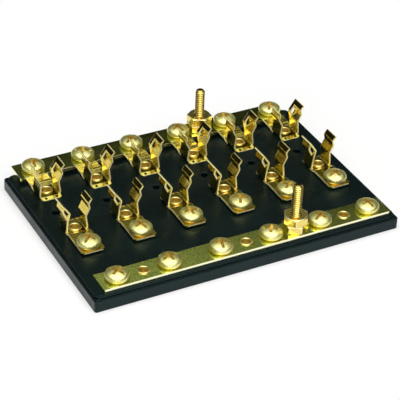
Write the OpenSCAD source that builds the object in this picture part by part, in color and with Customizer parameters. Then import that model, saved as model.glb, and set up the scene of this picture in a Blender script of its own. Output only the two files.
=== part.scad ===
// Six-circuit block for glass tube fuses, with a ground bar along the front edge.
// Millimetres. X runs along the bus bars, Y from the ground bar to the supply bar, Z up.
// The flat back of the plate is at Z = 0, and the origin is the middle of the outline.

/* [Base plate] */
// Length of the plate along the bus bars
plate_w = 115; // [112:0.5:150]
// Depth of the plate across the bus bars
plate_d = 78.8; // [78:0.2:100]
// Overall thickness of the plate
plate_t = 5.5; // [5:0.1:9]
// Height of the step around the raised top
rim_h = 1.1; // [0.4:0.1:2]
// Width of the step around the raised top
rim_w = 0.8; // [0.3:0.1:1]
// Corner radius of the raised top, seen from above
top_r = 2.4; // [1:0.1:6]
// Corner radius of the outer edge, seen from above
edge_r = 0.9; // [0.3:0.1:5]
// Edge break along the top of the side walls
edge_break = 0.3; // [0.1:0.05:0.6]
// Diameter of the fixing hole beside each fuse
fix_d = 2.6; // [2:0.1:4]
// Sideways shift of the fixing holes from the fuse axis
fix_shift = -2.1; // [-3:0.1:3]
// Shift of the fixing holes along the fuse from its middle
fix_back = -1.0; // [-5:0.1:5]

/* [Layout] */
// Distance from one fuse to the next
pitch = 19.05; // [17.5:0.05:19.05]
// Distance between the eyelets of the two clips of a fuse
clip_span = 24.6; // [22:0.1:25.5]
// Centre line of the supply bar from the rear edge of the plate
supply_inset = 3.8; // [3.4:0.1:6]

/* [Bus bars] */
// Width of both bus bars
bar_w = 9.2; // [8.6:0.1:10]
// Thickness of both bus bars
bar_t = 1.3; // [0.8:0.1:2]
// Length of the ground bar
ground_len = 108.4; // [106:0.1:110]
// Sideways shift of the ground bar
ground_shift = 0.7; // [-1:0.1:1]
// Centre line of the ground bar from the front edge of the plate
ground_inset = 6.4; // [6:0.1:9]
// Length of the supply bar
supply_len = 106.4; // [104:0.1:109]
// Sideways shift of the supply bar
supply_shift = -1.0; // [-1:0.1:1]
// Corner radius of the bus bars
bar_r = 0.6; // [0.2:0.1:2]

/* [Fuse clips] */
// Thickness of the clip sheet
sheet_t = 0.7; // [0.5:0.05:0.9]
// Width of the spring arms along the fuse
arm_w = 6; // [5:0.1:7]
// Distance from the eyelet to the inner end of the arms
arm_in = 3.8; // [3:0.1:4]
// Half width of the clip at the base, on the middle of the sheet
base_x = 3.9; // [3.6:0.05:4.2]
// Half width at the lower pinch
pinch_x = 3.25; // [3:0.05:3.5]
// Height of the lower pinch
pinch_z = 5.6; // [5:0.1:6.2]
// Half width at the bulge
bulge_x = 4.65; // [4.4:0.05:4.9]
// Height of the bulge
bulge_z = 8.4; // [8:0.1:8.8]
// Half width at the neck
neck_x = 4.2; // [4:0.05:4.3]
// Height of the neck
neck_z = 10.3; // [10:0.1:10.6]
// Half width at the top of the lead-in flare
flare_x = 5.45; // [5:0.05:5.8]
// Height of the top of the lead-in flare
flare_z = 11.9; // [11.5:0.1:12.5]
// Bend radius between the base and the arms
heel_r = 1.0; // [0.8:0.05:1.2]
// Bend radius along the arms
arm_r = 0.9; // [0.6:0.05:1.1]
// Corner radius at the free end of the arms
tip_r = 0.9; // [0.3:0.1:1.5]
// Width of the lanced end-stop strip along the fuse
strip_w = 1.4; // [1:0.1:2]
// Distance of the end-stop strip from the middle of the clip
stop_x = 2.6; // [2.5:0.05:2.9]
// Length of the lip at the inner end of the base
lip = 1.6; // [1.4:0.05:1.8]
// Width of the lip
lip_w = 7.2; // [6.8:0.1:7.6]
// Thickness at the end of the sloping lip
lip_t = 0.25; // [0.15:0.05:0.4]
// Diameter of the pilot holes in the lip
pilot_d = 1.0; // [0.7:0.1:1.1]
// Distance of the pilot holes from the middle of the clip
pilot_x = 2.0; // [1.8:0.1:2.3]
// Width of the terminal tab
tab_w = 8.2; // [7.6:0.1:8.4]
// Rise of the terminal tab above the plate
tab_rise = 0.6; // [0.3:0.1:1]
// Distance from the eyelet to the terminal screw
tab_reach = 11.7; // [11.2:0.1:12]
// Length of the tab beyond the terminal screw
tab_end = 4.2; // [3.8:0.1:4.8]

/* [Fasteners] */
// Thread diameter of the terminal screws
thread_d = 4.16; // [3.5:0.02:4.2]
// Thread diameter of the studs
stud_d = 3.5; // [3:0.05:4]
// Radial clearance around the threads
thread_gap = 0.05; // [0.02:0.01:0.08]
// Diameter of the screw heads
head_d = 8.3; // [7.6:0.1:8.5]
// Height of the screw heads
head_h = 3.1; // [2.5:0.1:3.3]
// Length of the screw shanks below the head
shank_len = 5; // [4.5:0.1:5.2]
// Width of the driver slot
slot_w = 1.0; // [0.8:0.1:1.4]
// Depth of the driver slot
slot_h = 0.7; // [0.5:0.1:1.1]
// Length of the arms of the cross recess
cross_len = 4.6; // [3:0.1:5]
// Height of the stud tops above the raised top of the plate
stud_top = 18.9; // [16:0.1:22]
// Diameter of the flat stud heads in the back of the plate
stud_head_d = 5.8; // [5.2:0.1:6]
// Thickness of the stud heads
stud_head_h = 1.2; // [0.8:0.1:1.6]
// Position of the ground stud along its bar
ground_stud_x = 19.5; // [18.5:0.1:20.5]
// Position of the supply stud along its bar
supply_stud_x = 18.0; // [18:0.1:19.4]
// Width of the nuts across the flats
nut_af = 7.94; // [7:0.01:8.4]
// Height of one nut
nut_h = 3.0; // [2.4:0.1:3.3]
// Bore of the eyelets
eyelet_d = 3.0; // [2.4:0.1:3.2]
// Wall thickness of the eyelets
eyelet_t = 0.4; // [0.3:0.05:0.5]
// Radius of the rolled rim of the eyelets
roll_r = 0.4; // [0.35:0.05:0.5]
// Clearance around the eyelets
eyelet_gap = 0.05; // [0.02:0.01:0.15]
// Clearance around the screw shanks in the plate
shank_gap = 0.4; // [0.3:0.05:0.5]

/* [Hidden] */
$fn = 48;

// The supply bar and the nuts on it reach a little past the rear edge of the plate,
// so the plate stands off the middle of the outline by half of that overhang.
nut_r = nut_af / sqrt(3);
overhang = max(0, bar_w / 2 - supply_inset, nut_r - supply_inset);
plate_y = -overhang / 2;
ground_y = plate_y - plate_d / 2 + ground_inset;
supply_y = plate_y + plate_d / 2 - supply_inset;
rear_eye_y = supply_y - tab_reach;
front_eye_y = rear_eye_y - clip_span;
outlet_y = front_eye_y - tab_reach;
fix_y = (front_eye_y + rear_eye_y) / 2 + fix_back;
bar_on_tab = tab_rise + sheet_t;
thread_r = thread_d / 2;
tap_r = thread_r + thread_gap;
eye_r = eyelet_d / 2 + eyelet_t;
eye_hole_r = eye_r + eyelet_gap;
roll_mid = eyelet_d / 2 + roll_r;
pocket_r = roll_mid + roll_r + 0.3;
pocket_h = roll_r + 0.3;
supply_nut_z = plate_t + bar_on_tab + bar_t;
ground_nut_z = plate_t + bar_t;
stud_r = stud_d / 2;
stud_tap_r = stud_r + thread_gap;
body_r = stud_r - 0.04;

function fuse_x(i) = (i - 2.5) * pitch;
function ground_x(i) = fuse_x(i) + ground_shift;

// Sheet bent along a path: the middle line is filleted at each corner and thickened to both sides.
function unit(v) = v / norm(v);
function left_of(v) = [-v[1], v[0]];
function wrap(a) = a > 180 ? a - 360 : (a < -180 ? a + 360 : a);
function fillet_pts(p, q, s, r, side, t) =
    let (u = unit(p - q), w = unit(s - q), half = acos(u * w) / 2)
    let (mid = q + unit(u + w) * r / sin(half), reach = r / tan(half))
    let (turn = cross(q - p, s - q) > 0 ? 1 : -1, rr = r - side * turn * t / 2)
    let (a = q + u * reach - mid, b = q + w * reach - mid)
    let (a0 = atan2(a[1], a[0]), da = wrap(atan2(b[1], b[0]) - a0), steps = max(3, ceil(abs(da) / 8)))
    [for (k = [0 : steps]) mid + rr * [cos(a0 + da * k / steps), sin(a0 + da * k / steps)]];
function sheet_edge(path, radii, side, t) =
    let (n = len(path), d0 = unit(path[1] - path[0]), d1 = unit(path[n - 1] - path[n - 2]))
    concat([path[0] + side * left_of(d0) * t / 2],
        [for (i = [1 : n - 2]) each fillet_pts(path[i - 1], path[i], path[i + 1], radii[i - 1], side, t)],
        [path[n - 1] + side * left_of(d1) * t / 2]);
function reversed(v) = [for (i = [len(v) - 1 : -1 : 0]) v[i]];

module bent_sheet(path, radii, t) {
    polygon(concat(sheet_edge(path, radii, 1, t), reversed(sheet_edge(path, radii, -1, t))));
}

// Rectangle with rounded corners, centred.
module rounded(w, d, r) {
    square([w - 2 * r, d], center = true);
    square([w, d - 2 * r], center = true);
    for (x = [-1, 1], y = [-1, 1])
        translate([x * (w / 2 - r), y * (d / 2 - r)])
            circle(r);
}

module for_fuses(y) {
    for (i = [0 : 5])
        translate([fuse_x(i), y, 0])
            children();
}

module for_ground_screws() {
    for (i = [0 : 5])
        translate([ground_x(i), ground_y, 0])
            children();
}

// The ground bar is riveted down between each pair of its screws.
module for_ground_eyelets() {
    for (i = [0, 2, 4])
        translate([ground_x(i) + pitch / 2, ground_y, 0])
            children();
}

module place_studs() {
    translate([ground_stud_x, ground_y, 0])
        children();
    translate([supply_stud_x, supply_y, 0])
        children();
}

module eyelet_way() {
    translate([0, 0, -1])
        cylinder(r = eye_hole_r, h = plate_t + 2);
    translate([0, 0, -1])
        cylinder(r = pocket_r, h = pocket_h + 1);
}

module screw_way() {
    translate([0, 0, -1])
        cylinder(r = thread_r + shank_gap, h = plate_t + 2);
}

module stud_way() {
    translate([0, 0, -1])
        cylinder(r = stud_tap_r, h = plate_t + 2);
    translate([0, 0, -1])
        cylinder(d = stud_head_d + 0.4, h = stud_head_h + 1);
}

module base_plate() {
    low = plate_t - rim_h;
    color([0.07, 0.08, 0.09])
        difference() {
            translate([0, plate_y, 0]) {
                linear_extrude(low - edge_break)
                    rounded(plate_w, plate_d, edge_r);
                linear_extrude(low)
                    rounded(plate_w - 2 * edge_break, plate_d - 2 * edge_break, edge_r - edge_break / 2);
                linear_extrude(plate_t - edge_break)
                    rounded(plate_w - 2 * rim_w, plate_d - 2 * rim_w, top_r);
                linear_extrude(plate_t)
                    rounded(plate_w - 2 * (rim_w + edge_break), plate_d - 2 * (rim_w + edge_break), top_r);
            }
            for_fuses(front_eye_y)
                eyelet_way();
            for_fuses(rear_eye_y)
                eyelet_way();
            for_ground_eyelets()
                eyelet_way();
            for_fuses(outlet_y)
                screw_way();
            for_fuses(supply_y)
                screw_way();
            for_ground_screws()
                screw_way();
            place_studs()
                stud_way();
            for_fuses(fix_y)
                translate([fix_shift, 0, -1])
                    cylinder(d = fix_d, h = plate_t + 2);
        }
}

module ground_bus_bar() {
    color([0.78, 0.66, 0.30])
        translate([0, 0, plate_t])
            difference() {
                translate([ground_shift, ground_y, 0])
                    linear_extrude(bar_t)
                        rounded(ground_len, bar_w, bar_r);
                for_ground_screws()
                    translate([0, 0, -1])
                        cylinder(r = tap_r, h = bar_t + 2);
                for_ground_eyelets()
                    translate([0, 0, -1])
                        cylinder(r = eye_hole_r, h = bar_t + 2);
                translate([ground_stud_x, ground_y, -1])
                    cylinder(r = stud_tap_r, h = bar_t + 2);
            }
}

module supply_bus_bar() {
    color([0.78, 0.66, 0.30])
        translate([0, 0, plate_t + bar_on_tab])
            difference() {
                translate([supply_shift, supply_y, 0])
                    linear_extrude(bar_t)
                        rounded(supply_len, bar_w, bar_r);
                for_fuses(supply_y)
                    translate([0, 0, -1])
                        cylinder(r = tap_r, h = bar_t + 2);
                translate([supply_stud_x, supply_y, -1])
                    cylinder(r = stud_tap_r, h = bar_t + 2);
            }
}

// Half of the clip section, from the base to the tip of the flare, on the middle of the sheet.
// Both arms bulge out around the fuse cap. At the outer end of the clip one of them has a
// lanced strip that bulges in instead, which stops the fuse from sliding out.
foot = [[base_x, sheet_t / 2], [pinch_x, pinch_z]];
lead_in = [[neck_x, neck_z], [flare_x, flare_z]];
stop_z = (pinch_z + neck_z) / 2;
seat_path = concat(foot, [[bulge_x, bulge_z]], lead_in);
stop_path = concat(foot, [[stop_x, stop_z]], lead_in);
section_radii = [arm_r, arm_r, arm_r, heel_r, heel_r, arm_r, arm_r, arm_r];

function clip_path(left, right) = concat(reversed([for (p = left) [-p[0], p[1]]]), right);

// The stamped spring clip: eyelet at the origin, terminal tab towards -Y, fuse towards +Y.
module fuse_clip() {
    arm_y = arm_in - arm_w;
    difference() {
        union() {
            intersection() {
                union() {
                    arms(clip_path(seat_path, seat_path), arm_in, arm_w - strip_w);
                    arms(clip_path(stop_path, seat_path), arm_y + strip_w, strip_w);
                }
                translate([-flare_x - 2, arm_in - arm_w / 2, flare_z / 2])
                    rotate([90, 0, 90])
                        linear_extrude(2 * flare_x + 4)
                            arm_outline();
            }
            terminal_tab(arm_y);
            end_lip();
        }
        translate([0, 0, -1])
            cylinder(r = eye_hole_r, h = 3);
        translate([0, -tab_reach, -1])
            cylinder(r = tap_r, h = 4);
        for (x = [-1, 1])
            translate([x * pilot_x, arm_in + lip * 0.55, -1])
                cylinder(d = pilot_d, h = 3);
    }
}

// Both arms and the base between them, over one width of the sheet.
module arms(path, y, width) {
    translate([0, y, 0])
        rotate([90, 0, 0])
            linear_extrude(width)
                bent_sheet(path, section_radii, sheet_t);
}

// Lip at the inner end of the base, sloping down to its end, with rounded corners.
module end_lip() {
    root = 0.5;
    length = root + lip;
    intersection() {
        translate([-lip_w / 2, arm_in - root, 0])
            rotate([90, 0, 90])
                linear_extrude(lip_w)
                    polygon([[0, 0], [length, 0], [length, lip_t], [root + 0.2, sheet_t], [0, sheet_t]]);
        translate([0, arm_in + lip - length, -1])
            linear_extrude(3)
                rounded(lip_w, 2 * length, 0.6);
    }
}

// Side view of an arm: rounded only at its free end.
module arm_outline() {
    tall = flare_z + sheet_t;
    translate([0, sheet_t / 2])
        rounded(arm_w, tall, tip_r);
    translate([0, -tall / 4])
        square([arm_w, tall / 2 + sheet_t], center = true);
}

// The tab steps up beside the arms, so that it stands clear of the plate under the screw.
module terminal_tab(y) {
    low = sheet_t / 2;
    high = low + tab_rise;
    far = tab_reach + tab_end;
    step = [[y + 1, low], [y - 0.6, low], [y - 2.2, high], [-far, high]];
    intersection() {
        rotate([90, 0, 90])
            translate([0, 0, -tab_w / 2])
                linear_extrude(tab_w)
                    bent_sheet(step, [0.8, 0.8], sheet_t);
        translate([0, -(far - 4) / 2, 0])
            linear_extrude(4)
                rounded(tab_w, far + 4, 0.8);
    }
}

module outlet_clip(i) {
    color([0.80, 0.67, 0.28])
        translate([fuse_x(i), front_eye_y, plate_t])
            fuse_clip();
}

module supply_clip(i) {
    color([0.80, 0.67, 0.28])
        translate([fuse_x(i), rear_eye_y, plate_t])
            rotate([0, 0, 180])
                fuse_clip();
}

// Hollow rivet: rolled over above the metal it holds and in a pocket in the back of the plate.
module eyelet(top) {
    low = pocket_h;
    rotate_extrude() {
        translate([eyelet_d / 2, low])
            square([eyelet_t, top - low]);
        roll(top, 1);
        roll(low, -1);
    }
}

module roll(z, up) {
    intersection() {
        translate([roll_mid, z])
            circle(roll_r);
        translate([0, up > 0 ? z : z - 2])
            square([9, 2]);
    }
}

module outlet_eyelets() {
    color([0.80, 0.55, 0.25])
        for_fuses(front_eye_y)
            eyelet(plate_t + sheet_t);
}

module supply_eyelets() {
    color([0.80, 0.55, 0.25])
        for_fuses(rear_eye_y)
            eyelet(plate_t + sheet_t);
}

module ground_bar_eyelets() {
    color([0.80, 0.55, 0.25])
        for_ground_eyelets()
            eyelet(plate_t + bar_t);
}

// Half section of a pan head with a rolled edge, a shallow dome and an eased lower rim.
module head_section() {
    edge = 1.25;
    dome = head_d * 0.95;
    intersection() {
        union() {
            square([head_d / 2 - edge, head_h]);
            polygon([[0, 0], [head_d / 2 - 0.4, 0], [head_d / 2, 0.5],
                [head_d / 2, head_h * 0.45], [0, head_h * 0.45]]);
            translate([head_d / 2 - edge, head_h * 0.45])
                circle(edge);
        }
        translate([0, head_h - dome])
            circle(dome);
        square([head_d, head_h]);
    }
}

// Terminal screw with its seat at the origin: slotted, with a cross recess over the slot.
module terminal_screw(turn) {
    color([0.86, 0.78, 0.45])
        difference() {
            union() {
                rotate_extrude()
                    head_section();
                translate([0, 0, -shank_len + 0.5])
                    cylinder(r = thread_r, h = shank_len);
                translate([0, 0, -shank_len])
                    cylinder(r1 = thread_r - 0.5, r2 = thread_r, h = 0.5);
            }
            rotate([0, 0, turn]) {
                translate([0, 0, head_h - slot_h / 2 + 0.5])
                    cube([head_d + 2, slot_w, slot_h + 1], center = true);
                translate([0, 0, head_h - slot_h + 0.5])
                    cube([slot_w, cross_len, slot_h * 2 + 1], center = true);
                translate([0, 0, head_h - slot_h + 0.5])
                    cube([cross_len, slot_w, slot_h * 2 + 1], center = true);
            }
        }
}

// Each screw stopped at its own angle when it was driven home.
function turn_of(i, row) = (i * 67 + row * 41) % 180;

module outlet_screw(i) {
    translate([fuse_x(i), outlet_y, plate_t + bar_on_tab])
        terminal_screw(turn_of(i, 1));
}

module supply_screw(i) {
    translate([fuse_x(i), supply_y, supply_nut_z])
        terminal_screw(turn_of(i, 2));
}

module ground_screw(i) {
    translate([ground_x(i), ground_y, ground_nut_z])
        terminal_screw(turn_of(i, 3));
}

// Threaded stud: flat head in the back of the plate, free thread above its two nuts.
module stud(seat) {
    free = seat + 2 * nut_h;
    tip = plate_t + stud_top;
    color([0.82, 0.66, 0.26]) {
        cylinder(d = stud_head_d, h = stud_head_h);
        cylinder(r = body_r, h = free);
        translate([0, 0, free])
            cylinder(r = stud_r, h = tip - free - 0.5);
        translate([0, 0, tip - 0.5])
            cylinder(r1 = stud_r, r2 = stud_r - 0.5, h = 0.5);
    }
}

// Hexagon nut with its corners rounded off above and below.
module hex_nut(turn) {
    color([0.82, 0.68, 0.28])
        rotate([0, 0, turn])
            difference() {
                intersection() {
                    cylinder(r = nut_r, h = nut_h, $fn = 6);
                    rotate_extrude()
                        polygon([[0, 0], [nut_af * 0.48, 0], [nut_r + 0.05, 0.4],
                            [nut_r + 0.05, nut_h - 0.4], [nut_af * 0.48, nut_h], [0, nut_h]]);
                }
                translate([0, 0, -1])
                    cylinder(r = stud_tap_r, h = nut_h + 2);
                translate([0, 0, -0.01])
                    cylinder(r1 = stud_tap_r + 0.4, r2 = stud_tap_r, h = 0.4);
                translate([0, 0, nut_h - 0.39])
                    cylinder(r1 = stud_tap_r, r2 = stud_tap_r + 0.4, h = 0.4);
            }
}

module ground_stud() {
    translate([ground_stud_x, ground_y, 0])
        stud(ground_nut_z);
}

module supply_stud() {
    translate([supply_stud_x, supply_y, 0])
        stud(supply_nut_z);
}

module ground_lower_nut() {
    translate([ground_stud_x, ground_y, ground_nut_z])
        hex_nut(32);
}

module ground_top_nut() {
    translate([ground_stud_x, ground_y, ground_nut_z + nut_h])
        hex_nut(2);
}

module supply_lower_nut() {
    translate([supply_stud_x, supply_y, supply_nut_z])
        hex_nut(30);
}

module supply_top_nut() {
    translate([supply_stud_x, supply_y, supply_nut_z + nut_h])
        hex_nut(33);
}

base_plate();
ground_bus_bar();
supply_bus_bar();
outlet_clip(0);  // outlet_clip_1
outlet_clip(1);  // outlet_clip_2
outlet_clip(2);  // outlet_clip_3
outlet_clip(3);  // outlet_clip_4
outlet_clip(4);  // outlet_clip_5
outlet_clip(5);  // outlet_clip_6
supply_clip(0);  // supply_clip_1
supply_clip(1);  // supply_clip_2
supply_clip(2);  // supply_clip_3
supply_clip(3);  // supply_clip_4
supply_clip(4);  // supply_clip_5
supply_clip(5);  // supply_clip_6
outlet_eyelets();
supply_eyelets();
ground_bar_eyelets();
outlet_screw(0);  // outlet_screw_1
outlet_screw(1);  // outlet_screw_2
outlet_screw(2);  // outlet_screw_3
outlet_screw(3);  // outlet_screw_4
outlet_screw(4);  // outlet_screw_5
outlet_screw(5);  // outlet_screw_6
supply_screw(0);  // supply_screw_1
supply_screw(1);  // supply_screw_2
supply_screw(2);  // supply_screw_3
supply_screw(3);  // supply_screw_4
supply_screw(4);  // supply_screw_5
supply_screw(5);  // supply_screw_6
ground_screw(0);  // ground_screw_1
ground_screw(1);  // ground_screw_2
ground_screw(2);  // ground_screw_3
ground_screw(3);  // ground_screw_4
ground_screw(4);  // ground_screw_5
ground_screw(5);  // ground_screw_6
ground_stud();
supply_stud();
ground_lower_nut();
ground_top_nut();
supply_lower_nut();
supply_top_nut();
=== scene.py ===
"""Six-circuit fuse block in brass and black moulded plastic.

The plate, bus bars, clips and nuts keep the shape of their solids, with the broken edges of
stamped and moulded parts. The screws, studs and eyelets are built anew with real threads,
driver recesses and rolled rims.
"""

import logging
import math
from dataclasses import dataclass
from enum import Enum
from typing import Any, Callable, Dict, Optional, Sequence, Tuple

import bmesh
import bpy
from mathutils import Matrix, Vector


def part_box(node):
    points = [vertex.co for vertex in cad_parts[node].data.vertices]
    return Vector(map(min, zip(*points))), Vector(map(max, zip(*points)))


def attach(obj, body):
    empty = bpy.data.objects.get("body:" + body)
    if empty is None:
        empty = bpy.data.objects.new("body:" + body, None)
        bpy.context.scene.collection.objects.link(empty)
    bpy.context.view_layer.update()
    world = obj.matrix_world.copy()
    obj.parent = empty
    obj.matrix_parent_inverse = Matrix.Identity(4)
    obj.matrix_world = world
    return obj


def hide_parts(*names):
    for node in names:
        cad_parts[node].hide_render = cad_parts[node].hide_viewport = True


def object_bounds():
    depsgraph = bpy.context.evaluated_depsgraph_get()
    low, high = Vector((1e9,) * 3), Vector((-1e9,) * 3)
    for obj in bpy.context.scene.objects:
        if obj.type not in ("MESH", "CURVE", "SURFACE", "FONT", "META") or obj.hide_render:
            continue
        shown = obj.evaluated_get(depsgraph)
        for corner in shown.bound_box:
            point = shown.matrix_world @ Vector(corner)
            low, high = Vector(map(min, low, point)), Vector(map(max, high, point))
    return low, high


LOG = logging.getLogger("fuse_block")
MM = 0.001
SAME_PLACE = 0.001 * MM
FLUSH_DEGREES = 0.5
ROUND_PROFILE = 0.6
TURNED_CREASE_DEGREES = 60.0
RECESS_CREASE_DEGREES = 38.0
CIRCUITS = 6
EDGE = "edge"
# Attribute that holds the share of painted shade on each face or point.
PAINTED_SHADE_MARK = "recess"
MIX_NUMBERS = (2, 3)
MIX_COLOURS = (6, 7)
MIX_COLOUR_RESULT = 2
THREAD_FACETS = 28
THREAD_CHAMFER = 0.5 * MM
THREAD_DEPTH_IN_PITCHES = 0.54
THREAD_FLANK = (0.12, 0.86)
# Painted shade in thread grooves: groove depths, in shares of the thread's depth, where it starts and is
# full, and its strongest share.
GROOVE_SHADE = (0.35, 0.9)
GROOVE_SHADE_SHARE = 0.8

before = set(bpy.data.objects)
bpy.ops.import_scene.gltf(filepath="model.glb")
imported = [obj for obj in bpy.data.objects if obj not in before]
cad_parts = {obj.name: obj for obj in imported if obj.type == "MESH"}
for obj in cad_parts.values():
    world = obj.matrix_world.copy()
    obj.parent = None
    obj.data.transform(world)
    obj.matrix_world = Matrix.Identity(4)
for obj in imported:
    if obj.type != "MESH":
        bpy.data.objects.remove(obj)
CAD_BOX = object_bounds()

Colour = Tuple[float, float, float]
Span = Tuple[float, float]
Profile = Callable[[Any, Any], Tuple[Any, Any]]


class Body(Enum):
    """Bodies of the block that do not take their name from a node."""

    BLOCK = "block"


class Slot(Enum):
    """Material slots of the record."""

    PLASTIC = "black_plastic"
    BAR = "bar_brass"
    CLIP = "clip_brass"
    SCREW = "screw_brass"
    STUD = "stud_brass"
    EYELET = "eyelet_brass"


class Row(Enum):
    """The three rows of terminal screws."""

    OUTLET = "outlet"
    SUPPLY = "supply"
    GROUND = "ground"


class Graph:
    """Adds nodes to a node tree, a line at a time."""

    def __init__(self, tree: bpy.types.NodeTree) -> None:
        """Keeps the tree that the nodes go into."""
        self.tree = tree

    def feed(self, socket: bpy.types.NodeSocket, value: Any) -> None:
        """Links a socket to an input, or sets the input to a constant.

        Args:
            socket: The input to fill.
            value: An output socket, or a constant of the input's type.
        """
        if isinstance(value, bpy.types.NodeSocket):
            self.tree.links.new(value, socket)
        else:
            socket.default_value = value

    def add(self, kind: str, inputs: Optional[Dict[Any, Any]] = None, **settings: Any) -> bpy.types.Node:
        """Adds one node.

        Args:
            kind: Blender's name of the node type.
            inputs: Values or sockets by input name or index.
            settings: Properties of the node.

        Returns:
            The new node.
        """
        node = self.tree.nodes.new(kind)
        for name, value in settings.items():
            setattr(node, name, value)
        for key, value in (inputs or {}).items():
            self.feed(node.inputs[key], value)
        return node

    def math(self, operation: str, *values: Any) -> bpy.types.NodeSocket:
        """Adds a Math node for an operation and its one to three operands."""
        return self.add("ShaderNodeMath", dict(enumerate(values)), operation=operation).outputs[0]

    def between(self, amount: Any, first: Any, second: Any) -> bpy.types.NodeSocket:
        """Goes from the first number, at amount 0, to the second, at amount 1."""
        fed = {0: amount, **dict(zip(MIX_NUMBERS, (first, second)))}
        return self.add("ShaderNodeMix", fed, data_type="FLOAT").outputs[0]

    def ramp(
        self, value: Any, low: float, high: float, start: float, end: float, kind: str = "SMOOTHSTEP"
    ) -> bpy.types.NodeSocket:
        """Maps a value from low-high to start-end, clamped; kind is Blender's name of the curve."""
        fed = {"Value": value, "From Min": low, "From Max": high, "To Min": start, "To Max": end}
        return self.add("ShaderNodeMapRange", fed, interpolation_type=kind).outputs["Result"]

    def hump(self, value: Any, rise: Span, fall: Span) -> bpy.types.NodeSocket:
        """Goes up from 0 to 1 over one range and down again over another."""
        return self.math("MULTIPLY", self.ramp(value, *rise, 0.0, 1.0), self.ramp(value, *fall, 1.0, 0.0))


def fresh_graph(owner: Any) -> Graph:
    """Clears the nodes of a material or world and opens them."""
    owner.use_nodes = True
    owner.node_tree.nodes.clear()
    return Graph(owner.node_tree)


@dataclass(frozen=True)
class NoiseLayer:
    """One layer of noise in a finish.

    Attributes:
        detail: Number of finer layers in it.
        seed: Shift that sets it apart from the others.
        spread: Noise values between which its effect grows.
        falloff: Strength of each finer layer against the last.
    """

    detail: float
    seed: float
    spread: Span = (0.0, 1.0)
    falloff: float = 0.55


CLOUDS = NoiseLayer(detail=3.0, seed=0.37, spread=(0.42, 0.72))
GRAIN = NoiseLayer(detail=4.0, seed=1.91, spread=(0.3, 0.7))
SPECKS = NoiseLayer(detail=3.0, seed=7.7, spread=(0.42, 0.66))
RUBBING = NoiseLayer(detail=4.0, seed=0.7, spread=(0.45, 0.75))
DUST = NoiseLayer(detail=1.0, seed=3.1, spread=(0.74, 0.8))
SKIN = NoiseLayer(detail=2.0, seed=5.3)


@dataclass(frozen=True)
class Finish:
    """A procedural finish; a subclass says how its nodes are laid out.

    Attributes:
        name: Name of the material.
        slot: Slot of the record that it fills.
    """

    name: str
    slot: Slot

    def material(self) -> bpy.types.Material:
        """Builds the material once and hands the same one out afterwards."""
        found = bpy.data.materials.get(self.name)
        if found is not None:
            return found
        made = bpy.data.materials.new(self.name)
        graph = fresh_graph(made)
        shader = graph.add("ShaderNodeBsdfPrincipled")
        output = graph.add("ShaderNodeOutputMaterial")
        graph.feed(output.inputs["Surface"], shader.outputs["BSDF"])
        self.lay_out(graph, shader)
        return made

    def lay_out(self, graph: Graph, shader: bpy.types.Node) -> None:
        """Feeds the shader; every subclass has its own."""
        raise NotImplementedError

    @staticmethod
    def noise(graph: Graph, scale: Sequence[float], layer: NoiseLayer) -> bpy.types.NodeSocket:
        """Adds noise on the piece's own coordinates.

        Args:
            graph: The material's nodes.
            scale: Cells per metre along X, Y and Z.
            layer: The kind of noise.

        Returns:
            The noise value's socket.
        """
        coordinates = graph.add("ShaderNodeTexCoord").outputs["Object"]
        placed = {"Vector": coordinates, "Scale": tuple(scale), "Location": (layer.seed,) * 3}
        mapped = graph.add("ShaderNodeMapping", placed).outputs["Vector"]
        fed = {"Vector": mapped, "Scale": 1.0, "Detail": layer.detail, "Roughness": layer.falloff}
        return graph.add("ShaderNodeTexNoise", fed).outputs[0]

    @staticmethod
    def blend(graph: Graph, amount: Any, first: Any, second: Any) -> bpy.types.NodeSocket:
        """Mixes two colours.

        Args:
            graph: The material's nodes.
            amount: Share of the second colour.
            first: Colour or socket at amount 0.
            second: Colour or socket at amount 1.

        Returns:
            The mixed colour's socket.
        """
        node = graph.add("ShaderNodeMix", data_type="RGBA")
        graph.feed(node.inputs["Factor"], amount)
        for key, value in zip(MIX_COLOURS, (first, second)):
            graph.feed(node.inputs[key], value if isinstance(value, bpy.types.NodeSocket) else (*value, 1.0))
        return node.outputs[MIX_COLOUR_RESULT]


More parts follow.
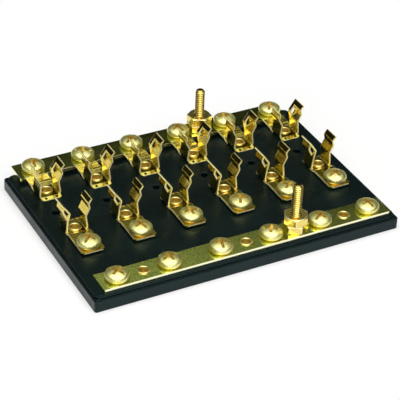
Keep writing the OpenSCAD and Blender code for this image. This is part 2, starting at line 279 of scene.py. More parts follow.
@dataclass(frozen=True)
class Brass(Finish):
    """Brass with a clouded face, fresh cut edges and a fine grain.

    Attributes:
        face: Colour of the rolled or turned faces.
        cloud: Colour of the tarnished patches.
        edge: Colour of the sheared edges.
        polish: Roughness of the cleanest metal.
        wear: Roughness added in the dullest places.
        grain: Grain cells per metre along X, Y and Z.
        relief: Depth of the grain in metres.
        patch: Clouds per metre.
        mottle: Specks of tarnish per metre.
        stain: Colour of the specks of tarnish.
        painted_shade: Colour of painted shade at the bottom of recesses and thread grooves, in small holes
            and under screw heads.
        torn: Roughness of the sheared edges.
        scatter: Share of light that the sheared edges scatter.
    """

    face: Colour
    cloud: Colour
    edge: Colour
    polish: float
    wear: float
    grain: Tuple[float, float, float]
    relief: float
    patch: float
    mottle: float
    stain: Colour
    painted_shade: Colour = (0.68, 0.44, 0.09)
    torn: float = 0.36
    scatter: float = 0.0

    def lay_out(self, graph: Graph, shader: bpy.types.Node) -> None:
        """Feeds colour, roughness and grain.

        Args:
            graph: The material's nodes.
            shader: The shader to feed.
        """
        clouds = self.noise(graph, (self.patch,) * 3, CLOUDS)
        grain = self.noise(graph, self.grain, GRAIN)
        cut = graph.add("ShaderNodeAttribute", attribute_name=EDGE).outputs["Fac"]
        specks = self.noise(graph, (self.mottle,) * 3, SPECKS)
        face = self.blend(graph, graph.ramp(clouds, *CLOUDS.spread, 0.0, 1.0), self.face, self.cloud)
        face = self.blend(graph, graph.ramp(specks, *SPECKS.spread, 0.0, 1.0), face, self.stain)
        # Painted shade: the mark darkens recess bottoms, thread grooves, small hole walls and the lower rims
        # of screw heads.
        deep = graph.add("ShaderNodeAttribute", attribute_name=PAINTED_SHADE_MARK).outputs["Fac"]
        face = self.blend(graph, deep, face, self.painted_shade)
        graph.feed(shader.inputs["Base Color"], self.blend(graph, cut, face, self.edge))
        dull = graph.math("ADD", graph.math("MULTIPLY", clouds, 0.5), graph.math("MULTIPLY", grain, 0.5))
        rough = graph.ramp(dull, *GRAIN.spread, self.polish, self.polish + self.wear)
        graph.feed(shader.inputs["Roughness"], graph.between(cut, rough, self.torn))
        graph.feed(shader.inputs["Metallic"], graph.between(cut, 1.0, 1.0 - self.scatter))
        bump = graph.add("ShaderNodeBump", {"Height": grain, "Distance": self.relief, "Strength": 1.0})
        graph.feed(shader.inputs["Normal"], bump.outputs["Normal"])


@dataclass(frozen=True)
class MouldedPlastic(Finish):
    """Black moulded plastic, lightly dusty, with a faint orange-peel skin.

    Attributes:
        colour: Colour of the plastic.
        bloom: Paler colour of rubbed patches.
        dust: Colour of the dust specks.
        gloss: Strength of its reflections.
        tint: Colour of its reflections.
        polish: Roughness of the skin.
        wear: Roughness added in rubbed patches.
        patch: Rubbed patches per metre.
        speck: Dust specks per metre.
        peel: Cells of the skin per metre.
        relief: Depth of the skin in metres.
        dusting: Share of dust in the specks.
        dulled: Noise values between which the skin grows dull.
    """

    colour: Colour
    bloom: Colour
    dust: Colour
    gloss: float
    tint: Colour
    polish: float
    wear: float
    patch: float = 90.0
    speck: float = 1500.0
    peel: float = 2600.0
    relief: float = 0.000004
    dusting: float = 0.6
    dulled: Span = (0.35, 0.7)

    def lay_out(self, graph: Graph, shader: bpy.types.Node) -> None:
        """Feeds colour, roughness and skin.

        Args:
            graph: The material's nodes.
            shader: The shader to feed.
        """
        patches = self.noise(graph, (self.patch,) * 3, RUBBING)
        specks = self.noise(graph, (self.speck,) * 3, DUST)
        skin = self.noise(graph, (self.peel,) * 3, SKIN)
        rubbed = graph.ramp(patches, *RUBBING.spread, 0.0, 1.0)
        plastic = self.blend(graph, rubbed, self.colour, self.bloom)
        dusty = graph.ramp(specks, *DUST.spread, 0.0, self.dusting)
        graph.feed(shader.inputs["Base Color"], self.blend(graph, dusty, plastic, self.dust))
        rough = graph.ramp(patches, *self.dulled, self.polish, self.polish + self.wear)
        graph.feed(shader.inputs["Roughness"], rough)
        shader.inputs["Specular IOR Level"].default_value = self.gloss
        shader.inputs["Specular Tint"].default_value = (*self.tint, 1.0)
        bump = graph.add("ShaderNodeBump", {"Height": skin, "Distance": self.relief, "Strength": 1.0})
        graph.feed(shader.inputs["Normal"], bump.outputs["Normal"])


PLASTIC = MouldedPlastic(
    name="black_moulded_plastic", slot=Slot.PLASTIC,
    colour=(0.0012, 0.0048, 0.0056), bloom=(0.0022, 0.0072, 0.008), dust=(0.05, 0.06, 0.062),
    gloss=0.28, tint=(0.66, 1.0, 0.98), polish=0.26, wear=0.12,
)
BAR_BRASS = Brass(
    name="rolled_bar_brass", slot=Slot.BAR,
    face=(0.90, 0.95, 0.29), cloud=(0.79, 0.84, 0.22), edge=(1.0, 0.97, 0.66),
    polish=0.09, wear=0.07, grain=(60.0, 2200.0, 2200.0), relief=0.000002, patch=160.0,
    mottle=2000.0, stain=(0.48, 0.53, 0.11), torn=0.18,
)
CLIP_BRASS = Brass(
    name="stamped_clip_brass", slot=Slot.CLIP,
    face=(0.85, 0.69, 0.16), cloud=(0.74, 0.58, 0.11), edge=(1.0, 0.92, 0.50),
    polish=0.1, wear=0.1, grain=(700.0, 700.0, 700.0), relief=0.000004, patch=240.0,
    mottle=2300.0, stain=(0.62, 0.48, 0.08), torn=0.3, scatter=0.8,
)
SCREW_BRASS = Brass(
    name="polished_screw_brass", slot=Slot.SCREW,
    face=(0.98, 0.96, 0.47), cloud=(0.94, 0.89, 0.34), edge=(0.97, 0.92, 0.55),
    polish=0.36, wear=0.12, grain=(800.0, 800.0, 800.0), relief=0.00002, patch=420.0,
    mottle=2000.0, stain=(0.82, 0.72, 0.22),
)
STUD_BRASS = Brass(
    name="turned_stud_brass", slot=Slot.STUD,
    face=(0.94, 0.77, 0.26), cloud=(0.88, 0.66, 0.17), edge=(0.98, 0.9, 0.52),
    polish=0.19, wear=0.06, grain=(900.0, 900.0, 2400.0), relief=0.000003, patch=420.0,
    mottle=2400.0, stain=(0.84, 0.63, 0.15),
)
EYELET_BRASS = Brass(
    name="rolled_eyelet_brass", slot=Slot.EYELET,
    face=(0.98, 0.88, 0.42), cloud=(0.92, 0.74, 0.26), edge=(0.97, 0.84, 0.5),
    polish=0.26, wear=0.12, grain=(900.0, 900.0, 900.0), relief=0.000004, patch=500.0,
    mottle=1500.0, stain=(0.84, 0.60, 0.18),
)


def middle(node: str) -> Vector:
    """Middle of a CAD node's box."""
    low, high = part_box(node)
    return (low + high) / 2


def add_object(name: str, mesh: bpy.types.Mesh) -> bpy.types.Object:
    """Puts a mesh into the scene as an object at the origin."""
    made = bpy.data.objects.new(name, mesh)
    bpy.context.scene.collection.objects.link(made)
    return made


def place_piece(
    name: str, mesh: bpy.types.Mesh, finish: Finish, nodes: Sequence[str], body: str = Body.BLOCK.value
) -> None:
    """Dresses a finished mesh and ties it to its body.

    Args:
        name: Name of the piece.
        mesh: Its mesh, in place.
        finish: Its finish.
        nodes: The CAD nodes that it stands for.
        body: The body that it moves with.
    """
    mesh.materials.clear()
    mesh.materials.append(finish.material())
    piece = add_object(name, mesh)
    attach(piece, body)
    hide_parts(*nodes)
    LOG.info("%s: %d faces, rides on %s", name, len(mesh.polygons), body)


@dataclass(frozen=True)
class EdgeBreak:
    """Softens the edges of a solid and marks the cut edges of a sheet.

    Attributes:
        width: Width of the broken edge in metres.
        steps: Number of facets across it.
        angle: Edges sharper than this, in degrees, are broken.
        sheet: Faces thinner than this, in metres, are cut edges of a sheet.
        clamp: Whether the width gives way where edges lie close together.
        flat: Faces larger than this, in square metres, are shaded flat.
        rim: Share of the cut edge's colour on the broken edges.
        weld: Corners closer than this, in metres, are merged first.
        outline: Share of a cut edge's outline that has to be sharp.
        narrow: Cut edges narrower than this many widths stay unbroken.
        crease: Edges sharper than this, in degrees, are shaded sharp.
    """

    width: float
    steps: int = 2
    angle: float = 40.0
    sheet: float = 0.0
    clamp: bool = False
    flat: float = 0.5 * MM * MM
    rim: float = 1.0
    weld: float = SAME_PLACE
    outline: float = 0.85
    narrow: float = 2.75
    crease: float = 50.0

    def mesh(self, node: str, shift: Vector = Vector()) -> bpy.types.Mesh:
        """Copies a CAD node's mesh with its edges broken.

        Args:
            node: The CAD node.
            shift: How far the copy is moved.

        Returns:
            The new mesh.
        """
        solid = bmesh.new()
        solid.from_mesh(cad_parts[node].data)
        flush = math.radians(FLUSH_DEGREES)
        bmesh.ops.remove_doubles(solid, verts=solid.verts, dist=SAME_PLACE)
        bmesh.ops.dissolve_limit(solid, angle_limit=flush, verts=solid.verts, edges=solid.edges)
        bmesh.ops.remove_doubles(solid, verts=solid.verts, dist=self.weld)
        sheared = solid.faces.layers.float.new(EDGE)
        shaded = solid.faces.layers.float.new(PAINTED_SHADE_MARK)
        limit = math.radians(self.angle)
        sharp = {e for e in solid.edges if e.is_manifold and e.calc_face_angle() > limit}
        kept = set()
        for face in solid.faces:
            around = sum(e.calc_length() for e in face.edges)
            cut = sum(e.calc_length() for e in face.edges if e in sharp)
            breadth = 2 * face.calc_area() / max(around, SAME_PLACE)
            face[sheared] = 1.0 if breadth < self.sheet and cut > self.outline * around else 0.0
            if face[sheared] and breadth < self.narrow * self.width:
                kept.add(face)
            hollow = any(not e.is_convex for e in face.edges)
            if face[sheared] and face.calc_area() < self.flat and hollow:
                # The wall of a small hole lies in shadow.
                face[sheared] = 0.0
                face[shaded] = 1.0
        broken = {e for e in sharp if e.is_convex}
        if self.sheet:
            whole = {e for face in kept for e in face.edges}
            broken = {e for e in broken - whole if any(face[sheared] for face in e.link_faces)}
        made = bmesh.ops.bevel(
            solid, geom=list(broken), offset=self.width, segments=self.steps, profile=ROUND_PROFILE,
            affect="EDGES", clamp_overlap=self.clamp,
        )
        for face in made["faces"]:
            face[sheared] = self.rim
        rounded = set(made["faces"])
        soft = [face in rounded or face.calc_area() < self.flat for face in solid.faces]
        bmesh.ops.translate(solid, verts=solid.verts, vec=shift)
        mesh = bpy.data.meshes.new(node + "_softened")
        solid.to_mesh(mesh)
        solid.free()
        mesh.set_sharp_from_angle(angle=math.radians(self.crease))
        mesh.polygons.foreach_set("use_smooth", soft)
        return mesh


class ShapeTree(Graph):
    """A Geometry Nodes tree with named inputs for its sizes."""

    def __init__(self, name: str) -> None:
        """Starts an empty tree with one geometry output."""
        super().__init__(bpy.data.node_groups.new(name, "GeometryNodeTree"))
        self.tree.interface.new_socket("Geometry", in_out="OUTPUT", socket_type="NodeSocketGeometry")
        self.identifiers: Dict[str, str] = {}
        self.entry = self.add("NodeGroupInput")
        self.exit = self.add("NodeGroupOutput")

    def size(self, name: str, kind: str = "NodeSocketFloat") -> bpy.types.NodeSocket:
        """Adds a named input.

        Args:
            name: Name of the input.
            kind: Its socket type.

        Returns:
            The socket to read it from.
        """
        socket = self.tree.interface.new_socket(name, in_out="INPUT", socket_type=kind)
        self.identifiers[name] = socket.identifier
        return self.entry.outputs[name]

    def sizes(self, *names: str) -> Tuple[bpy.types.NodeSocket, ...]:
        """Adds a named number for each name."""
        return tuple(self.size(name) for name in names)

    def revolved(self, around: int, along: int, shape: Profile) -> bpy.types.NodeSocket:
        """Wraps a grid round the Z axis.

        Args:
            around: Number of facets round the axis.
            along: Number of facets along the profile.
            shape: Function that turns the share round and the share along into radius and height.

        Returns:
            The geometry's socket.
        """
        fed = {"Size X": 1.0, "Size Y": 1.0, "Vertices X": around + 1, "Vertices Y": along + 1}
        grid = self.add("GeometryNodeMeshGrid", fed).outputs["Mesh"]
        place = self.add("ShaderNodeSeparateXYZ", {0: self.add("GeometryNodeInputPosition").outputs[0]})
        turn = self.math("ADD", place.outputs["X"], 0.5)
        share = self.math("ADD", place.outputs["Y"], 0.5)
        radius, height = shape(turn, share)
        angle = self.math("MULTIPLY", turn, 2 * math.pi)
        point = self.add("ShaderNodeCombineXYZ", {
            "X": self.math("MULTIPLY", radius, self.math("COSINE", angle)),
            "Y": self.math("MULTIPLY", radius, self.math("SINE", angle)),
            "Z": height,
        })
        wrapped = {"Geometry": grid, "Position": point.outputs[0]}
        return self.add("GeometryNodeSetPosition", wrapped).outputs[0]

    def disc(self, around: int, radius: Any, height: Any, down: bool) -> bpy.types.NodeSocket:
        """Closes an end with a flat disc.

        Args:
            around: Number of facets round it.
            radius: Its radius.
            height: Its height on the axis.
            down: Whether it faces downwards.

        Returns:
            The geometry's socket.
        """
        fed = {"Vertices": around, "Radius": radius}
        circle = self.add("GeometryNodeMeshCircle", fed, fill_type="NGON").outputs[0]
        place = self.add("ShaderNodeCombineXYZ", {"Z": height}).outputs[0]
        moved = self.add("GeometryNodeTransform", {"Geometry": circle, "Translation": place}).outputs[0]
        return self.add("GeometryNodeFlipFaces", {0: moved}).outputs[0] if down else moved

    def joined(self, *parts: bpy.types.NodeSocket) -> bpy.types.NodeSocket:
        """Joins parts and closes their seams."""
        join = self.add("GeometryNodeJoinGeometry")
        for part in reversed(parts):
            self.tree.links.new(part, join.inputs[0])
        fed = {"Geometry": join.outputs[0], "Distance": 2 * SAME_PLACE}
        return self.add("GeometryNodeMergeByDistance", fed).outputs[0]

    def thread(self, radius: Any, pitch: Any, low: Any, high: Any, rows: int) -> bpy.types.NodeSocket:
        """Builds a right-hand thread with chamfered, closed ends.

        Args:
            radius: Outer radius.
            pitch: Rise of one turn.
            low: Height of the lower end.
            high: Height of the upper end.
            rows: Number of facets along it.

        Returns:
            The geometry's socket.
        """
        depth = self.math("MULTIPLY", pitch, THREAD_DEPTH_IN_PITCHES)
        core = self.math("SUBTRACT", radius, THREAD_CHAMFER)
        turns_above_zero = 50.0

        def shape(turn: Any, share: Any) -> Tuple[Any, Any]:
            """Radius and height of a point of the thread."""
            length = self.math("SUBTRACT", high, low)
            height = self.math("ADD", low, self.math("MULTIPLY", share, length))
            turns = self.math("SUBTRACT", self.math("DIVIDE", height, pitch), turn)
            phase = self.math("FRACT", self.math("ADD", turns, turns_above_zero))
            ridge = self.math("ABSOLUTE", self.math("SUBTRACT", self.math("MULTIPLY", phase, 2.0), 1.0))
            raised = self.ramp(ridge, *THREAD_FLANK, 0.0, 1.0, "LINEAR")
            sunk = self.math("MULTIPLY", depth, self.math("SUBTRACT", 1.0, raised))
            top = self.math("ADD", core, self.math("SUBTRACT", high, height))
            bottom = self.math("ADD", core, self.math("SUBTRACT", height, low))
            ends = self.math("MINIMUM", top, bottom)
            return self.math("MINIMUM", self.math("SUBTRACT", radius, sunk), ends), height

        wall = self.revolved(THREAD_FACETS, rows, shape)
        # Painted shade grows towards the bottom of the thread grooves.
        sunk = self.math("DIVIDE", self.math("SUBTRACT", radius, self.off_axis()[0]), depth)
        wall = self.marked(wall, self.ramp(sunk, *GROOVE_SHADE, 0.0, GROOVE_SHADE_SHARE), "POINT")
        ends = self.disc(THREAD_FACETS, core, low, True), self.disc(THREAD_FACETS, core, high, False)
        return self.joined(wall, *ends)

    def off_axis(self) -> Tuple[bpy.types.NodeSocket, bpy.types.NodeSocket]:
        """Distance of each point from the Z axis, and its height."""
        place = self.add("GeometryNodeInputPosition").outputs[0]
        split = self.add("ShaderNodeSeparateXYZ", {0: place})
        level = {axis: split.outputs[axis] for axis in "XY"}
        flat = self.add("ShaderNodeCombineXYZ", level).outputs[0]
        length = self.add("ShaderNodeVectorMath", {0: flat}, operation="LENGTH").outputs["Value"]
        return length, split.outputs["Z"]

    def marked(self, shape: bpy.types.NodeSocket, depth: Any, domain: str) -> bpy.types.NodeSocket:
        """Marks the share of painted shade on each point or face, from 0 to 1; in a recess it goes from 0,
        outside, to 1, at the bottom.
        """
        fed = {"Geometry": shape, "Name": PAINTED_SHADE_MARK, "Value": depth}
        return self.add("GeometryNodeStoreNamedAttribute", fed, data_type="FLOAT", domain=domain).outputs[0]

    def repeated(self, shape: bpy.types.NodeSocket, **settings: Any) -> bpy.types.NodeSocket:
        """Repeats a shape along a row, with named inputs for the row.

        Args:
            shape: The geometry to repeat.
            settings: Further inputs of the copies.

        Returns:
            The row's socket.
        """
        row = {
            "Count": self.size("Count", "NodeSocketInt"),
            "Start Location": self.size("Start", "NodeSocketVector"),
            "Offset": self.size("Step", "NodeSocketVector"),
        }
        line = self.add("GeometryNodeMeshLine", row).outputs[0]
        fed = {"Points": line, "Instance": shape, **settings}
        return self.add("GeometryNodeInstanceOnPoints", fed).outputs[0]

    def finish(self, shape: bpy.types.NodeSocket) -> None:
        """Ends the tree in real geometry with its material."""
        material = self.size("Material", "NodeSocketMaterial")
        real = self.add("GeometryNodeRealizeInstances", {"Geometry": shape}).outputs[0]
        dressed = self.add("GeometryNodeSetMaterial", {"Geometry": real, "Material": material}).outputs[0]
        self.feed(self.exit.inputs[0], dressed)

    def mesh(
        self, name: str, values: Dict[str, Any], finish: Finish, degrees: float = 0.0
    ) -> bpy.types.Mesh:
        """Runs the tree and keeps its result as a plain mesh.

        Args:
            name: Name of the new mesh.
            values: The tree's inputs by name.
            finish: Finish of the mesh.
            degrees: Edges sharper than this stay sharp; at 0 the shading stays as it is.

        Returns:
            The plain mesh.
        """
        holder = add_object(name, bpy.data.meshes.new(name + "_start"))
        modifier = holder.modifiers.new("shape", "NODES")
        modifier.node_group = self.tree
        for key, value in {**values, "Material": finish.material()}.items():
            modifier[self.identifiers[key]] = value
        graph = bpy.context.evaluated_depsgraph_get()
        shaped = holder.evaluated_get(graph)
        mesh = bpy.data.meshes.new_from_object(shaped, preserve_all_data_layers=True, depsgraph=graph)
        mesh.name = name
        bpy.data.objects.remove(holder)
        if degrees:
            mesh.polygons.foreach_set("use_smooth", [True] * len(mesh.polygons))
            mesh.set_sharp_from_angle(angle=math.radians(degrees))
        return mesh


@dataclass
class BasePlate:
    """The moulded plate with its stepped rim, fixing holes and pockets.

    Attributes:
        edges: Edge break of the moulding.
    """

    edges: EdgeBreak = EdgeBreak(width=0.16 * MM, steps=3)

    def build(self) -> None:
        """Builds the plate and ties it to the block."""
        mesh = self.edges.mesh("base_plate")
        place_piece("plate_moulding", mesh, PLASTIC, ["base_plate"])


@dataclass
class BusBars:
    """The ground bar and the supply bar.

    Attributes:
        ground_edges: Edge break of the ground bar.
        supply_edges: Edge break of the supply bar.
    """

    ground_edges: EdgeBreak = EdgeBreak(width=0.3 * MM, steps=4, sheet=1.8 * MM)
    supply_edges: EdgeBreak = EdgeBreak(width=0.12 * MM, steps=3, sheet=1.8 * MM)

    def build(self) -> None:
        """Builds both bars and ties them to the block."""
        for row, edges in ((Row.GROUND, self.ground_edges), (Row.SUPPLY, self.supply_edges)):
            node = row.value + "_bus_bar"
            place_piece(row.value + "_bar_strip", edges.mesh(node), BAR_BRASS, [node])


@dataclass
class FuseClips:
    """Both rows of stamped spring clips.

    Attributes:
        edges: Edge break of the stamped sheet.
    """

    edges: EdgeBreak = EdgeBreak(width=0.22 * MM, steps=4, sheet=0.9 * MM, rim=0.45, weld=0.035 * MM)

    def build(self) -> None:
        """Shapes one clip and repeats it along both rows."""
        tree = self.row_tree()
        low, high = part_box("outlet_clip_1")
        start = Vector(((low.x + high.x) / 2, high.y, low.z))
        master = add_object("clip_master", self.edges.mesh("outlet_clip_1", -start))
        rear_low, rear_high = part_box("supply_clip_1")
        rear = Vector(((rear_low.x + rear_high.x) / 2, rear_low.y, rear_low.z))
        for row, place, turn in ((Row.OUTLET, start, 0.0), (Row.SUPPLY, rear, math.pi)):
            nodes = [f"{row.value}_clip_{i + 1}" for i in range(CIRCUITS)]
            step = (middle(nodes[-1]).x - middle(nodes[0]).x) / (CIRCUITS - 1)
            values = {
                "Clip": master, "Turn": (0.0, 0.0, turn),
                "Count": CIRCUITS, "Start": place, "Step": (step, 0.0, 0.0),
            }
            mesh = tree.mesh(row.value + "_clips", values, CLIP_BRASS)
            place_piece(row.value + "_clip_row", mesh, CLIP_BRASS, nodes)
        bpy.data.objects.remove(master)

    @staticmethod
    def row_tree() -> ShapeTree:
        """Tree that repeats one clip along a row."""
        tree = ShapeTree("clip_row")
        clip = tree.size("Clip", "NodeSocketObject")
        turn = tree.size("Turn", "NodeSocketVector")
        shape = tree.add("GeometryNodeObjectInfo", {"Object": clip}).outputs["Geometry"]
        tree.finish(tree.repeated(shape, Rotation=turn))
        return tree


@dataclass
class Eyelets:
    """The hollow rivets of the clips and of the ground bar.

    Attributes:
        bore: Radius of the bore.
        wall: Thickness of the tube.
        roll: Radius of the rolled rims.
    """

    bore: float = 1.5 * MM
    wall: float = 0.4 * MM
    roll: float = 0.4 * MM

    def build(self) -> None:
        """Builds the three groups of eyelets and ties them to the block."""
        tree = self.tree()
        counts = {"outlet": CIRCUITS, "supply": CIRCUITS, "ground_bar": CIRCUITS // 2}
        for place, count in counts.items():
            node = place + "_eyelets"
            low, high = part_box(node)
            reach = self.bore + 2 * self.roll
            step = (high.x - low.x - 2 * reach) / (count - 1)
            values = {
                "Bore": self.bore, "Wall": self.wall, "Roll": self.roll,
                "Low": low.z + self.roll, "High": high.z - self.roll, "Count": count,
                "Start": (low.x + reach, (low.y + high.y) / 2, 0.0), "Step": (step, 0.0, 0.0),
            }
            mesh = tree.mesh(node + "_rolled", values, EYELET_BRASS, TURNED_CREASE_DEGREES)
            place_piece(node + "_rolled", mesh, EYELET_BRASS, [node])

    @staticmethod
    def tree() -> ShapeTree:
        """Tree that rolls one eyelet and repeats it along a row."""
        tree = ShapeTree("eyelet_row")
        bore, wall, roll, low, high = tree.sizes("Bore", "Wall", "Roll", "Low", "High")
        round_section, square_section = 1.0, 0.2
        rim = tree.math("ADD", bore, roll)
        half_wall = tree.math("MULTIPLY", wall, 0.5)
        tube = tree.math("ADD", bore, half_wall)
        mid = tree.math("MULTIPLY", tree.math("ADD", low, high), 0.5)
        half = tree.math("MULTIPLY", tree.math("SUBTRACT", high, low), 0.5)
        parts = (
            Eyelets.ring(tree, rim, roll, high, roll, round_section),
            Eyelets.ring(tree, rim, roll, low, roll, round_section),
            Eyelets.ring(tree, tube, half_wall, mid, half, square_section),
        )
        tree.finish(tree.repeated(tree.joined(*parts)))
        return tree

    @staticmethod
    def ring(
        tree: ShapeTree, radius: Any, width: Any, height: Any, tall: Any, power: float
    ) -> bpy.types.NodeSocket:
        """Builds a closed ring round the Z axis.

        Args:
            tree: The tree that it goes into.
            radius: Radius of the middle of the ring.
            width: Half its width.
            height: Height of its middle.
            tall: Half its height.
            power: 1 for a round section, less for a squarer one.

        Returns:
            The geometry's socket.
        """

        def bent(value: Any) -> Any:
            """Squares off a sine or cosine."""
            raised = tree.math("POWER", tree.math("ABSOLUTE", value), power)
            return tree.math("MULTIPLY", tree.math("SIGN", value), raised)

        def shape(_turn: Any, share: Any) -> Tuple[Any, Any]:
            """Radius and height of a point of the ring."""
            angle = tree.math("MULTIPLY", share, 2 * math.pi)
            across = tree.math("MULTIPLY", width, bent(tree.math("COSINE", angle)))
            up = tree.math("MULTIPLY", tall, bent(tree.math("SINE", angle)))
            return tree.math("ADD", radius, across), tree.math("ADD", height, up)

        around, across_section = 32, 16
        return tree.revolved(around, across_section, shape)


@dataclass
class TerminalScrews:
    """The eighteen terminal screws: pan heads with a slot and a cross over it.

    Attributes:
        thread: Radius of the thread.
        pitch: Rise of one turn of the thread.
        shank: Length of the shank.
        slot: Width of the slot and of the cross.
        deep: Depth of the slot.
        cross: Length of the arms of the cross.
        crown: Radius of the dome of the head.
        ease: How far the lower rim of the head is drawn in.
    """

    thread: float = 2.08 * MM
    pitch: float = 0.794 * MM
    shank: float = 5.0 * MM
    slot: float = 1.0 * MM
    deep: float = 0.7 * MM
    cross: float = 4.6 * MM
    crown: float = 7.9 * MM
    ease: float = 0.4 * MM

    def build(self) -> None:
        """Builds each screw and ties it to its own body."""
        tree = self.tree()
        screw_turn, row_turn, half_turn = 67, 41, 180
        for number, row in enumerate((Row.OUTLET, Row.SUPPLY, Row.GROUND), 1):
            for i in range(CIRCUITS):
                node = f"{row.value}_screw_{i + 1}"
                low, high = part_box(node)
                turn = (i * screw_turn + number * row_turn) % half_turn
                values = {
                    "Radius": (high.x - low.x) / 2, "Height": high.z - low.z - self.shank,
                    "Crown": self.crown, "Ease": self.ease,
                    "Thread": self.thread, "Pitch": self.pitch, "Shank": self.shank,
                    "Slot": self.slot, "Deep": self.deep, "Cross": self.cross,
                    "Seat": ((low.x + high.x) / 2, (low.y + high.y) / 2, low.z + self.shank),
                    "Turn": (0.0, 0.0, math.radians(turn)),
                }
                mesh = tree.mesh(node + "_turned", values, SCREW_BRASS, RECESS_CREASE_DEGREES)
                place_piece(node + "_turned", mesh, SCREW_BRASS, [node], node)

    @staticmethod
    def tree() -> ShapeTree:
        """Tree that shapes one screw and sets it in its place."""
        tree = ShapeTree("terminal_screw")
        radius, height, crown, ease = tree.sizes("Radius", "Height", "Crown", "Ease")
        thread, pitch, shank = tree.sizes("Thread", "Pitch", "Shank")
        slot, deep, cross = tree.sizes("Slot", "Deep", "Cross")
        seat = tree.size("Seat", "NodeSocketVector")
        turn = tree.size("Turn", "NodeSocketVector")
        around, along, thread_rows = 64, 30, 56
        corner_power = 14.0
        rim_slope = 0.8
        cutter_in_radii, cross_in_depths = 3.0, 2.0
        recess_share = 0.93
        # Depths below the dome where the painted shade in the recess starts and is full.
        shade_depths = (0.05 * MM, 0.6 * MM)
        shaded_height = 0.42 * MM
        thread_overlap = 0.4 * MM
        centre = tree.math("SUBTRACT", height, crown)
        foot = tree.math("SUBTRACT", radius, ease)

        def reach(across: Any, up: Any) -> Any:
            """Distance of the head's wall and dome from the middle of its seat."""
            aside = tree.math("POWER", tree.math("MULTIPLY", centre, across), 2.0)
            root = tree.math("SQRT", tree.math("SUBTRACT", tree.math("POWER", crown, 2.0), aside))
            dome = tree.math("DIVIDE", tree.math("ADD", tree.math("MULTIPLY", centre, up), root), radius)
            wall = tree.math("POWER", across, corner_power)
            both = tree.math("ADD", tree.math("POWER", dome, -corner_power), wall)
            return tree.math("MULTIPLY", radius, tree.math("POWER", both, -1.0 / corner_power))

        def shape(_turn: Any, share: Any) -> Tuple[Any, Any]:
            """Radius and height of a point of the head."""
            angle = tree.math("MULTIPLY", share, math.pi / 2)
            across = tree.math("MAXIMUM", tree.math("COSINE", angle), 0.0)
            up = tree.math("SINE", angle)
            far = reach(across, up)
            rise = tree.math("MULTIPLY", far, up)
            rim = tree.math("ADD", foot, tree.math("MULTIPLY", rise, rim_slope))
            return tree.math("MINIMUM", tree.math("MULTIPLY", far, across), rim), rise

        head = tree.joined(tree.revolved(around, along, shape), tree.disc(around, foot, 0.0, True))
        through = tree.math("MULTIPLY", radius, cutter_in_radii)
        deeper = tree.math("MULTIPLY", deep, cross_in_depths)
        cuts = (
            TerminalScrews.cutter(tree, through, slot, deep, height),
            TerminalScrews.cutter(tree, slot, cross, deeper, height),
            TerminalScrews.cutter(tree, cross, slot, deeper, height),
        )
        for cut in cuts:
            node = tree.add("GeometryNodeMeshBoolean", operation="DIFFERENCE", solver="EXACT")
            tree.feed(node.inputs["Mesh 1"], head)
            tree.tree.links.new(cut, node.inputs["Mesh 2"])
            head = node.outputs["Mesh"]
        # Painted shade towards the bottom of the slot and cross, and painted shadow on the lowest part of
        # the head's wall.
        off, rise = tree.off_axis()
        squares = tree.math("POWER", crown, 2.0), tree.math("POWER", off, 2.0)
        above = tree.math("SQRT", tree.math("SUBTRACT", *squares))
        under = tree.math("SUBTRACT", tree.math("ADD", centre, above), rise)
        inner = tree.math("LESS_THAN", off, tree.math("MULTIPLY", radius, recess_share))
        shade_in_recess = tree.math("MULTIPLY", inner, tree.ramp(under, *shade_depths, 0.0, 1.0))
        shadowed = tree.math("LESS_THAN", rise, shaded_height)
        head = tree.marked(head, tree.math("MAXIMUM", shade_in_recess, shadowed), "FACE")
        low = tree.math("MULTIPLY", shank, -1.0)
        whole = tree.joined(head, tree.thread(thread, pitch, low, thread_overlap, thread_rows))
        fed = {"Geometry": whole, "Translation": seat, "Rotation": turn}
        tree.finish(tree.add("GeometryNodeTransform", fed).outputs[0])
        return tree

    @staticmethod
    def cutter(tree: ShapeTree, x: Any, y: Any, depth: Any, top: Any) -> bpy.types.NodeSocket:
        """Block that cuts one slot of the recess.

        Args:
            tree: The tree that it goes into.
            x: Its length along X.
            y: Its length along Y.
            depth: How deep it cuts below the top of the head.
            top: Height of the top of the head.

        Returns:
            The geometry's socket.
        """
        spare = 1.0 * MM
        sides = {"X": x, "Y": y, "Z": tree.math("ADD", depth, spare)}
        size = tree.add("ShaderNodeCombineXYZ", sides).outputs[0]
        block = tree.add("GeometryNodeMeshCube", {"Size": size}).outputs["Mesh"]
        centre = tree.math("ADD", tree.math("SUBTRACT", top, tree.math("MULTIPLY", depth, 0.5)), spare / 2)
        place = tree.add("ShaderNodeCombineXYZ", {"Z": centre}).outputs[0]
        return tree.add("GeometryNodeTransform", {"Geometry": block, "Translation": place}).outputs[0]


